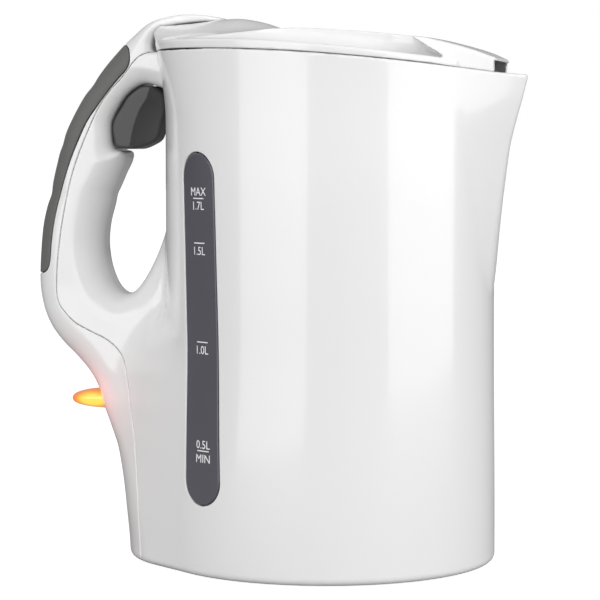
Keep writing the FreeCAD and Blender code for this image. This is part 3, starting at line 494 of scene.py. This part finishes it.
def handle(p):
    """Bow of the handle with its spine below and the tongue over the lid's hinge on top."""
    x, y, z = p[:, 0], p[:, 1], p[:, 2]
    side = handle_side(x, z)
    half = steps(z, [50, 80, 96, 112, 150, 190, 215], [19.0, 17.0, 15.6, 14.6, 14.5, 14.5, TONGUE_HALF])
    half = half * np.where(z > 205, tongue_taper(x), 1)
    edge = steps(z, [50, 90, 112, 140, 160, 172, 190, 200, 214],
                 [12, 12.5, 12.5, 12.5, 10.5, 7.0, 7.2, 9.0, 9.0])
    tongue_edge = 1.4
    edge = edge + (tongue_edge - edge) * ramp(x, -84, -68) * ramp(z, 196, 207)
    finger_dips = sum(np.exp(-((z - at) / wide) ** 2)
                      for at, wide in ((193.5, 3.0), (169.5, 3.2), (148.5, 3.2)))
    side = side + 0.5 * ramp(-x, 84, 92) * finger_dips
    return both(side, np.abs(y) - half, edge)


def white(p):
    """Everything moulded in white below the lid, as one closed skin."""
    z = p[:, 2]
    b = both(body(p), z - rim_z(p[:, 0]), 0.7)
    fillet = steps(z, [0, 70, 92, 108, 125, 142, 160, 203, 208], [8, 10, 14, 9, 6, 3, 1.6, 1.2, 0.6])
    return both(join(b, handle(p), fillet), FOOT - z, 2.6)


def cavity(p):
    """Room for the water, open at the top."""
    return both(inner_line(p), FLOOR_Z - p[:, 2], 2.0)


# Lines that part the pieces: signed distances that are zero along the line.
def seam(p):
    return seam_side(p[:, 0], p[:, 2])


def grip_line(p):
    return grip_side(p[:, 0], p[:, 2])


def rim_line(p):
    return p[:, 2] - rim_z(p[:, 0])


def inner_line(p):
    return body(p) + WALL


def gauge_line(p):
    """Signed distance to the tall stadium of the level gauge, laid round the body."""
    z = p[:, 2]
    middle = np.radians(steps(z, [20, 60, 100, 170], [-122.3, -124.6, -126.1, -128.5]))
    ang = np.arctan2(p[:, 1], p[:, 0]) - middle
    ang = (ang + np.pi) % (2 * np.pi) - np.pi
    s = ang * GAUGE_RADIUS
    half = 9.75 + 0.6 * (z - 30) / 130
    past = np.abs(z - (GAUGE_LOW + GAUGE_HIGH) / 2) - (GAUGE_HIGH - GAUGE_LOW) / 2 + half
    return np.hypot(s, np.maximum(past, 0)) - half


def lever_line(p):
    """Signed distance to the rounded slot round the power lever."""
    y, z = np.abs(p[:, 1]), p[:, 2] - SLOT_Z
    far = np.hypot(np.maximum(y - 5.6, 0), np.maximum(np.abs(z) - 2.2, 0)) - 3.7
    return np.hypot(np.maximum(far, 0), np.maximum(p[:, 0] + 80, 0)) + np.minimum(far, 0)


# ======================================================================================
# Lid, trigger and lever
# ======================================================================================
CREST = [(-90.0, 206.0), (-72.0, 208.6), (-50.2, 210.8), (-42.4, 211.9), (-29.6, 213.0),
         (-19.8, 213.9), (-11.3, 214.7), (-1.5, 214.8), (11.3, 214.2), (27.3, 213.0), (40.8, 211.5),
         (47.1, 210.9), (53.4, 209.5), (59.5, 207.8), (65.1, 206.0), (70.0, 204.1), (76.0, 202.0),
         (83.0, 199.6)]
DOME = [(-90.0, 218.5), (-66.0, 219.9), (-55.0, 220.2), (-43.8, 220.7), (-38.3, 220.9),
        (-31.9, 220.1), (-26.8, 218.9), (-20.5, 216.8), (-15.0, 215.6), (-8.0, 215.3), (0.0, 215.2)]


def height(x, profile):
    """Height of a side profile, a list of (x, z), at x."""
    return steps(x, [c[0] for c in profile], [c[1] for c in profile])


def lid(p):
    """Crowned lid with a thumb dome, a cove scooped along each side and a narrow band below it."""
    x, y, z = p[:, 0], np.abs(p[:, 1]), p[:, 2]
    plan = body(np.stack([x, p[:, 1], np.maximum(z, 199.0)], 1))
    top = height(x, CREST)
    dome = (height(x, DOME) - top - CROWN) * ramp(-x, -4, 12)
    crown = CROWN * (1 - (y / 46.0) ** 2) * ramp(-x, -75, -50)
    wide = steps(x, [-75, -50, -20, 0], [27.0, 26.0, 24.0, 22.0])
    top = top + np.maximum(crown, -3.0) + np.maximum(dome, 0) * np.exp(-(y / wide) ** 2.4)
    under = rim_z(x) + LIP - 0.2 * ramp(x, 50, 56)
    shelf = under + BAND - 0.9 * ramp(x, -30, 57)
    out = both(plan + 0.55, z - top, 1.0)
    out = both(out, x - 71.6, 0.8)
    # hollow hood over the beak, open at the front
    room = both(both(plan + 2.1, z - (top - 1.5), 0.6), 58.0 - x, 1.5)
    mouth = np.maximum(70.7 - x, z - (top - 1.4))
    out = carve(carve(out, room, 0.25), mouth, 0.3)
    # coves along the sides
    reach = steps(x, [-70, -60, -50, -40, -15, 5, 30, 44, 54],
                  [-2.0, -1.6, 1.5, 7.0, 15.0, 19.5, 17.0, 8.0, 2.5])
    cove = both(-(plan + 2.6 + reach), shelf - z, 5.4)
    cove = both(cove, (x - 52.5) + (z - 205.0) * 1.45, 2.0)
    cove = both(cove, -69.0 - x, 2.0)
    out = carve(out, cove, 0.35)
    # band round the edge
    band = both(plan + 0.12, z - shelf, 1.15)
    band = both(band, x - 60.0, 1.5)
    band = both(band, -plan - 9.0, 1.0)
    band = both(band, -69.2 - x, 1.7)
    out = join(out, band, 0.35)
    out = both(out, under - z, 0.45)
    out = both(out, -69.3 - x, 1.3)
    # round back end inside the knuckle, and the slot that the tongue lies over
    above = z - HINGE_Z
    behind = np.where(x < HINGE_X, np.hypot(x - HINGE_X, above), np.maximum(np.abs(above) - 20.0, 0))
    out = both(out, behind - 6.4, 0.4)
    out = carve(out, handle(p) - 0.34, 0.4)
    slot = both(y - TONGUE_HALF * tongue_taper(x - 1.0) - GAP, x + 43.2, 0.6)
    return carve(out, slot, 0.4)


def trigger(p):
    """Pull pad: flat cheeks and, past a curved crease, a hollowed finger face."""
    x, y, z = p[:, 0], np.abs(p[:, 1]), p[:, 2]
    crease = steps(z, [166, 170, 174, 179, 184, 189, 195],
                   [-83.5, -82.8, -82.0, -80.6, -78.4, -75.4, -73.5])
    past = np.maximum(x - crease, 0)
    half = 10.4 - 7.0 * (1 - np.exp(-past / 7.0))
    return both(trigger_side(x, z), (y - half) * 0.86, 1.3)


def lever(p):
    """Rocker tip: an oval tongue with a blunt end, tilted a little down."""
    x, y = p[:, 0], p[:, 1]
    z = p[:, 2] - 61.9 - (x + 111.0) * 0.02
    out = np.clip((-x - 82.0) / 30.2, 0, 1)
    wide = 8.4 * np.sqrt(np.clip(1 - out ** 5, 0.02, 1))
    high = 4.4 * np.sqrt(np.clip(1 - out ** 4, 0.02, 1)) + 0.05
    oval = (np.hypot(y / wide, z / high) - 1) * np.minimum(wide, high)
    return both(np.maximum(oval, x + 84.0), -112.2 - x, 1.2)


# ======================================================================================
# Materials
# ======================================================================================


def surface(name, colour, rough=0.4, metal=0.0, coat=0.0, grain=0.02, scale=900.0, wear=0.03,
            tint=0.03, clear=0.0, streak=None):
    """Principled finish with procedural mottling, uneven roughness and a fine grain."""
    mat = bpy.data.materials.new(name)
    mat.use_nodes = True
    nodes, links = mat.node_tree.nodes, mat.node_tree.links
    shader = nodes["Principled BSDF"]
    shader.inputs["Metallic"].default_value = metal
    shader.inputs["Coat Weight"].default_value = coat
    shader.inputs["Coat Roughness"].default_value = 0.06
    shader.inputs["Transmission Weight"].default_value = clear
    shader.inputs["IOR"].default_value = 1.5
    at = nodes.new("ShaderNodeTexCoord")
    move = nodes.new("ShaderNodeMapping")
    if streak:
        move.inputs["Scale"].default_value = streak
    links.new(at.outputs["Object"], move.inputs["Vector"])
    soft = nodes.new("ShaderNodeTexNoise")
    soft.inputs["Scale"].default_value = 26.0
    soft.inputs["Detail"].default_value = 4.0
    fine = nodes.new("ShaderNodeTexNoise")
    fine.inputs["Scale"].default_value = scale
    fine.inputs["Detail"].default_value = 3.0
    for n in (soft, fine):
        links.new(move.outputs["Vector"], n.inputs["Vector"])
    mix = nodes.new("ShaderNodeMix")
    mix.data_type = "RGBA"
    dark = tuple(v * (1 - tint) for v in colour)
    mix.inputs["A"].default_value = (*colour, 1)
    mix.inputs["B"].default_value = (*dark, 1)
    links.new(soft.outputs["Fac"], mix.inputs["Factor"])
    links.new(mix.outputs["Result"], shader.inputs["Base Color"])
    span = nodes.new("ShaderNodeMapRange")
    span.inputs["To Min"].default_value = max(rough - wear, 0.02)
    span.inputs["To Max"].default_value = min(rough + wear, 1.0)
    links.new(fine.outputs["Fac"], span.inputs["Value"])
    links.new(span.outputs["Result"], shader.inputs["Roughness"])
    bump = nodes.new("ShaderNodeBump")
    bump.inputs["Strength"].default_value = grain
    bump.inputs["Distance"].default_value = 0.0002
    links.new(fine.outputs["Fac"], bump.inputs["Height"])
    links.new(bump.outputs["Normal"], shader.inputs["Normal"])
    return mat


WHITE = (0.80, 0.80, 0.80)
FINISH = {
    "white_gloss": surface("white_gloss", WHITE, 0.22, coat=0.6, grain=0.004, tint=0.01, wear=0.02),
    "white_satin": surface("white_satin", (0.74, 0.74, 0.73), 0.42, grain=0.02),
    "soft_grey": surface("soft_grey", (0.13, 0.13, 0.125), 0.62, grain=0.12, scale=1800.0, tint=0.05),
    "smoked_window": surface("smoked_window", (0.088, 0.086, 0.105), 0.16, coat=0.4, grain=0.003,
                             tint=0.04),
    "silicone": surface("silicone", (0.62, 0.62, 0.6), 0.55, grain=0.03),
    "steel": surface("steel", (0.60, 0.60, 0.61), 0.27, metal=1.0, grain=0.03, streak=(1, 1, 12)),
    "trigger_grey": surface("trigger_grey", (0.05, 0.05, 0.051), 0.42, grain=0.08, scale=1500.0),
    "amber": surface("amber", (0.24, 0.05, 0.008), 0.18, coat=0.5, grain=0.004, tint=0.12),
    "nylon_dark": surface("nylon_dark", (0.035, 0.035, 0.04), 0.5, grain=0.08),
    "nylon_light": surface("nylon_light", (0.6, 0.6, 0.57), 0.45, grain=0.04),
    "bimetal": surface("bimetal", (0.55, 0.48, 0.38), 0.3, metal=1.0, grain=0.03),
    "lamp_glass": surface("lamp_glass", (0.9, 0.45, 0.2), 0.08, clear=0.8, grain=0.002),
    "wire_brown": surface("wire_brown", (0.12, 0.04, 0.02), 0.35, grain=0.02),
    "wire_blue": surface("wire_blue", (0.02, 0.07, 0.3), 0.35, grain=0.02),
    "wire_white": surface("wire_white", (0.7, 0.7, 0.68), 0.35, grain=0.02),
    "aluminium": surface("aluminium", (0.7, 0.7, 0.7), 0.38, metal=1.0, grain=0.06, streak=(1, 1, 5)),
    "mark_white": surface("mark_white", (0.86, 0.86, 0.88), 0.5, grain=0.01),
}
HEART = (-0.1005, -0.004, 0.0619)       # brightest place in the lit lever, metres
HEART_SIZE = (0.0122, 0.016, 0.0048)


def lit_amber():
    """Translucent rocker lit from inside: yellow at its heart, orange red towards the rim."""
    mat = FINISH["amber"]
    nodes, links = mat.node_tree.nodes, mat.node_tree.links
    place = nodes.new("ShaderNodeTexCoord")
    move = nodes.new("ShaderNodeMapping")
    move.inputs["Location"].default_value = [-at / size for at, size in zip(HEART, HEART_SIZE)]
    move.inputs["Scale"].default_value = [1 / size for size in HEART_SIZE]
    links.new(place.outputs["Object"], move.inputs["Vector"])
    heart = nodes.new("ShaderNodeTexGradient")
    heart.gradient_type = "SPHERICAL"
    links.new(move.outputs["Vector"], heart.inputs["Vector"])
    tones = nodes.new("ShaderNodeValToRGB")
    tones.color_ramp.elements[0].color = (0.58, 0.06, 0.02, 1)
    tones.color_ramp.elements[1].color = (0.96, 0.84, 0.12, 1)
    tones.color_ramp.elements[1].position = 0.55
    mid_tone = tones.color_ramp.elements.new(0.28)
    mid_tone.color = (0.84, 0.30, 0.04, 1)
    links.new(heart.outputs["Fac"], tones.inputs["Fac"])
    shader = nodes["Principled BSDF"]
    links.new(tones.outputs["Color"], shader.inputs["Emission Color"])
    shader.inputs["Emission Strength"].default_value = 0.92


lit_amber()

# ======================================================================================
# Pieces
# ======================================================================================


def piece(name, part, slot, body_name, node):
    """Makes a visible piece that rides a body and stands in for one of the frame's nodes."""
    obj = mesh_object(name, *part, FINISH[slot])
    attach(obj, body_name)
    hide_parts(node)


FINE = 1.2
LID_STEP = 0.62
TRIGGER_STEP = 0.5
LEVER_STEP = 0.45
EDGE, SOFT_EDGE = 0.5, 0.55          # radii along the gaps
skin_v, skin_q = nets(white, (-132, -76, -5), (92, 76, 227), FINE)
skin = halves(skin_q, skin_v)


def apart(line, width):
    """Scores the skin on both sides of a gap and a little way off it."""
    global skin_v, skin
    for beside in (0.0, 0.16, 0.5):
        for level in (-width / 2 - beside, width / 2 + beside):
            skin_v, skin = score(skin_v, skin, white, line, level)


apart(seam, SEAM_GAP)
apart(gauge_line, GAP)
apart(grip_line, GAP)
apart(lever_line, 0.01)
skin_v, skin = score(skin_v, skin, white, inner_line, 0.0)
mid = skin_v[skin].mean(1)
in_seam, in_gauge, in_grip, in_lever = seam(mid), gauge_line(mid), grip_line(mid), lever_line(mid)
# the closed skin loses its top inside the rim and its underside inside the wall
cap = (rim_line(mid) > -0.8) & (rim_line(mid) < 1.4) & (inner_line(mid) < 0) & (mid[:, 0] > -63.4)
cap |= (mid[:, 2] < FOOT + 1.0) & (inner_line(mid) < 0)
half_gap = GAP / 2
is_rear = in_seam < -SEAM_GAP / 2
is_jug = (in_seam > SEAM_GAP / 2) & ~cap
grip_hit = is_rear & (in_grip < -half_gap)
rear_hit = is_rear & (in_grip > half_gap) & (in_lever > 0)
jug_hit = is_jug & (in_gauge > half_gap)
gauge_hit = is_jug & (in_gauge < -half_gap)
seam_in, seam_out = (seam, -1, -SEAM_GAP / 2), (seam, 1, SEAM_GAP / 2)
jug_part = shell(skin_v, skin[jug_hit], white, [seam_out, (gauge_line, 1, half_gap)], EDGE, wall=2.2)
rear_part = shell(skin_v, skin[rear_hit], white,
                  [seam_in, (grip_line, 1, half_gap), (lever_line, 1, 0.0)], EDGE, wall=2.4)
grip_part = shell(skin_v, skin[grip_hit], white, [(grip_line, -1, -half_gap), seam_in], SOFT_EDGE,
                  wall=1.6)
gauge_part = shell(skin_v, skin[gauge_hit], white, [(gauge_line, -1, -half_gap)], SOFT_EDGE,
                   wall=1.6)

# the inside wall and floor of the jug
liner_v, liner_q = nets(cavity, (-92, -72, 22), (92, 72, 212), FINE * 1.3)
liner = halves(liner_q, liner_v)
BELOW_RIM = -0.35
liner_v, liner = score(liner_v, liner, cavity, rim_line, BELOW_RIM)
liner = liner[rim_line(liner_v[liner].mean(1)) < BELOW_RIM][:, ::-1]
liner_v, liner_n, liner_faces, no_ring = shell(liner_v, liner, cavity, [], EDGE)


def merged(*parts):
    """Several shells as one mesh."""
    verts, normals, tris, rings, at = [], [], [], [], 0
    for v, n, faces, ring in parts:
        verts.append(v)
        normals.append(n)
        tris.append(np.vstack(faces) + at)
        rings.append(ring + at)
        at += len(v)
    return np.vstack(verts), np.vstack(normals), tris, np.vstack(rings)


piece("jug_body", merged(jug_part, (liner_v, -liner_n, liner_faces, no_ring)), "white_gloss", "kettle", "jug")
piece("rear_cover_shell", rear_part, "white_gloss", "kettle", "rear_cover")
piece("grip_pad", grip_part, "soft_grey", "kettle", "grip_insert")
piece("gauge_panel", gauge_part, "smoked_window", "kettle", "gauge_window")


def letters(label, z, size=4.65):
    """Flat outline letters of the gauge's print, centred at a height, as points and faces."""
    curve = bpy.data.curves.new("ink", "FONT")
    curve.body, curve.size = label, size
    curve.align_x, curve.align_y = "CENTER", "CENTER"
    curve.resolution_u = 3
    text = bpy.data.objects.new("ink", curve)
    bpy.context.collection.objects.link(text)
    bpy.context.view_layer.update()
    flat = bpy.data.meshes.new_from_object(text)
    co = np.array([v.co[:2] for v in flat.vertices])
    co[:, 0] -= (co[:, 0].min() + co[:, 0].max()) / 2
    co[:, 1] -= (co[:, 1].min() + co[:, 1].max()) / 2
    faces = [tuple(f.vertices) for f in flat.polygons]
    bpy.data.objects.remove(text)
    return co + np.array([0.0, z]), faces


def bar(z, width=6.6, thick=0.42, count=9):
    """Flat line of the gauge's print, in short runs so that it bends with the body."""
    s = np.linspace(-width / 2, width / 2, count)
    co = np.vstack([np.stack([s, np.full(count, z + side * thick / 2)], 1) for side in (-1, 1)])
    return co, [(k, k + 1, k + count + 1, k + count) for k in range(count - 1)]


MARKS = [letters("MAX", 150.7), bar(148.0), letters("1.7L", 145.1), bar(130.4), letters("1.5L", 127.3),
         bar(91.3), letters("1.0L", 88.2), letters("0.5L", 50.8), bar(48.3), letters("MIN", 45.3)]


def ink():
    """Wraps the print round the body, a hair above the panel, with sides down to it."""
    co, faces, at = [], [], 0
    for c, f in MARKS:
        co.append(c)
        faces += [tuple(i + at for i in q) for q in f]
        at += len(c)
    co = np.vstack(co)
    z = co[:, 1]
    middle = np.radians(steps(z, [45, 91, 130, 150], [-122.7, -124.9, -126.5, -127.1]))
    ang = middle + co[:, 0] / GAUGE_RADIUS
    near = GAUGE_RADIUS - 0.2
    start = np.stack([near * np.cos(ang), near * np.sin(ang), z], 1)
    face = onto(white, start, 4, 3.0)
    n = gradient(white, face)
    n /= np.linalg.norm(n, axis=1, keepdims=True)
    proud, sunk = 0.07, 0.05
    top, low = face + proud * n, face - sunk * n
    edges = dict.fromkeys((i, j) for f in faces for i, j in zip(f, f[1:] + f[:1]))
    side = [(j, i, i + at, j + at) for i, j in edges if (j, i) not in edges]
    return np.vstack([top, low]), faces + [tuple(i + at for i in f[::-1]) for f in faces] + side


ink_v, ink_f = ink()
ink_mesh = bpy.data.meshes.new("gauge_print")
ink_mesh.from_pydata((ink_v * MM).tolist(), [], ink_f)
ink_mesh.materials.append(FINISH["mark_white"])
print_obj = bpy.data.objects.new("gauge_print", ink_mesh)
bpy.context.collection.objects.link(print_obj)
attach(print_obj, "kettle")

lid_v, lid_q = nets(lid, (-73, -72, 197), (73, 72, 223.5), LID_STEP)


def closed_part(f, verts, quads):
    """A whole closed surface as one part, with the field's own normals."""
    tris = halves(quads, verts)
    verts, tris = compact(verts, tris)
    g = gradient(f, verts, 0.03)
    n = g / np.linalg.norm(g, axis=1, keepdims=True)
    return verts, n, [tris], NO_QUADS


piece("lid_shell", closed_part(lid, lid_v, lid_q), "white_gloss", "lid", "lid_cover")
trig_v, trig_q = nets(trigger, (-96, -12, 164), (-69, 12, 197), TRIGGER_STEP)
piece("trigger_pad", closed_part(trigger, trig_v, trig_q), "trigger_grey", "trigger",
      "lid_release_trigger")
lev_v, lev_q = nets(lever, (-114, -10, 54), (-82.6, 10, 70), LEVER_STEP)
piece("switch_tip", closed_part(lever, lev_v, lev_q), "amber", "switch", "switch_lever")

# finishes of the frame's own nodes
for record in frame["record"]["subparts"]:
    mesh = frame["nodes"][record["node"]].data
    finish = FINISH[record["material_slot"]]
    if not mesh.materials:
        mesh.materials.append(finish)
    for k in range(len(mesh.materials)):
        mesh.materials[k] = finish

# ======================================================================================
# Studio
# ======================================================================================


def lamp(name, at, look, size, power):
    """Rectangular softbox that faces a point."""
    data = bpy.data.lights.new(name, "AREA")
    data.shape = "RECTANGLE"
    data.size, data.size_y = size
    data.energy = power
    obj = bpy.data.objects.new(name, data)
    bpy.context.collection.objects.link(obj)
    obj.location = at
    obj.rotation_euler = (Vector(look) - Vector(at)).to_track_quat("-Z", "Y").to_euler()


lamp("softbox_right", (0.932, -0.181, 0.36), (0.0, 0.0, 0.20), (1.0, 1.1), 7.2)
lamp("softbox_left", (-0.43, -0.90, 0.40), (0.0, 0.0, 0.14), (0.95, 1.0), 5.6)
lamp("softbox_top", (-0.1, 0.1, 1.1), (0.0, 0.0, 0.1), (1.1, 1.1), 0.9)

glow = bpy.data.lights.new("lever_glow", "POINT")
glow.energy, glow.color, glow.shadow_soft_size = 0.0045, (1.0, 0.16, 0.13), 0.004
glow_at = bpy.data.objects.new("lever_glow", glow)
glow_at.location = (-0.1040, -0.0210, 0.0625)
bpy.context.collection.objects.link(glow_at)
glow_at.visible_glossy = False

world = bpy.data.worlds.new("studio")
world.use_nodes = True
bpy.context.scene.world = world
wn, wl = world.node_tree.nodes, world.node_tree.links
back = wn["Background"]
back.inputs["Strength"].default_value = 1.0
way = wn.new("ShaderNodeTexCoord")


def spread(vector, low, high, at_low, at_high):
    """Smooth value that depends on how far a direction leans towards a vector."""
    lean = wn.new("ShaderNodeVectorMath")
    lean.operation = "DOT_PRODUCT"
    lean.inputs[1].default_value = vector
    wl.new(way.outputs["Generated"], lean.inputs[0])
    span = wn.new("ShaderNodeMapRange")
    span.interpolation_type = "SMOOTHSTEP"
    span.inputs["From Min"].default_value = low
    span.inputs["From Max"].default_value = high
    span.inputs["To Min"].default_value = at_low
    span.inputs["To Max"].default_value = at_high
    wl.new(lean.outputs["Value"], span.inputs["Value"])
    return span.outputs["Result"]


def product(a, b):
    times = wn.new("ShaderNodeMath")
    times.operation = "MULTIPLY"
    wl.new(a, times.inputs[0])
    wl.new(b, times.inputs[1])
    return times.outputs["Value"]


# dark flags low behind the kettle draw a thin line along its edges
low_back = product(spread((-0.24, 0.97, 0.0), -0.1, 0.5, 0.0, 1.0),
                   spread((0.0, 0.0, 1.0), 0.0, 0.08, 1.0, 0.0))
flag = wn.new("ShaderNodeMix")
flag.data_type = "FLOAT"
wl.new(low_back, flag.inputs["Factor"])
wl.new(spread((0.55, -0.80, -0.25), -0.6, 0.7, 0.34, 0.85), flag.inputs["A"])
flag.inputs["B"].default_value = 0.05
wl.new(flag.outputs["Result"], back.inputs["Color"])
bright = wn.new("ShaderNodeBackground")
bright.inputs["Color"].default_value = (1.0, 1.0, 1.0, 1)
ray = wn.new("ShaderNodeLightPath")
pick = wn.new("ShaderNodeMixShader")
wl.new(ray.outputs["Is Camera Ray"], pick.inputs["Fac"])
wl.new(back.outputs["Background"], pick.inputs[1])
wl.new(bright.outputs["Background"], pick.inputs[2])
wl.new(pick.outputs["Shader"], wn["World Output"].inputs["Surface"])

bpy.ops.mesh.primitive_plane_add(size=14.0, location=(0, 0, (FOOT - 0.4) * MM))
floor = bpy.context.object
floor.name = "floor"
paper = surface("floor_paper", (0.34, 0.34, 0.34), 0.8, grain=0.02, tint=0.01)
pn, pl = paper.node_tree.nodes, paper.node_tree.links
seen = pn.new("ShaderNodeLightPath")
lift = pn.new("ShaderNodeMath")
lift.operation = "MULTIPLY"
lift.inputs[1].default_value = 0.9
pn["Principled BSDF"].inputs["Emission Color"].default_value = (1.0, 1.0, 1.0, 1)
pl.new(seen.outputs["Is Camera Ray"], lift.inputs[0])
pl.new(lift.outputs["Value"], pn["Principled BSDF"].inputs["Emission Strength"])
floor.data.materials.append(paper)

camera = bpy.data.cameras.new("camera")
camera.lens, camera.sensor_width = 144.0, 36.0
eye = bpy.data.objects.new("camera", camera)
bpy.context.collection.objects.link(eye)
TURN, PITCH = math.radians(14.0), math.radians(3.814)
DISTANCE, EYE_Z, ASIDE = 0.9888, 0.17098, 0.01236
eye.location = (DISTANCE * math.sin(TURN) - ASIDE * math.cos(TURN),
                -DISTANCE * math.cos(TURN) - ASIDE * math.sin(TURN), EYE_Z)
eye.rotation_euler = (math.radians(90) - PITCH, 0, TURN)
camera.clip_start, camera.clip_end = 0.05, 60.0
scene = bpy.context.scene
scene.camera = eye
scene.view_settings.view_transform = "Standard"
scene.view_settings.look = "None"
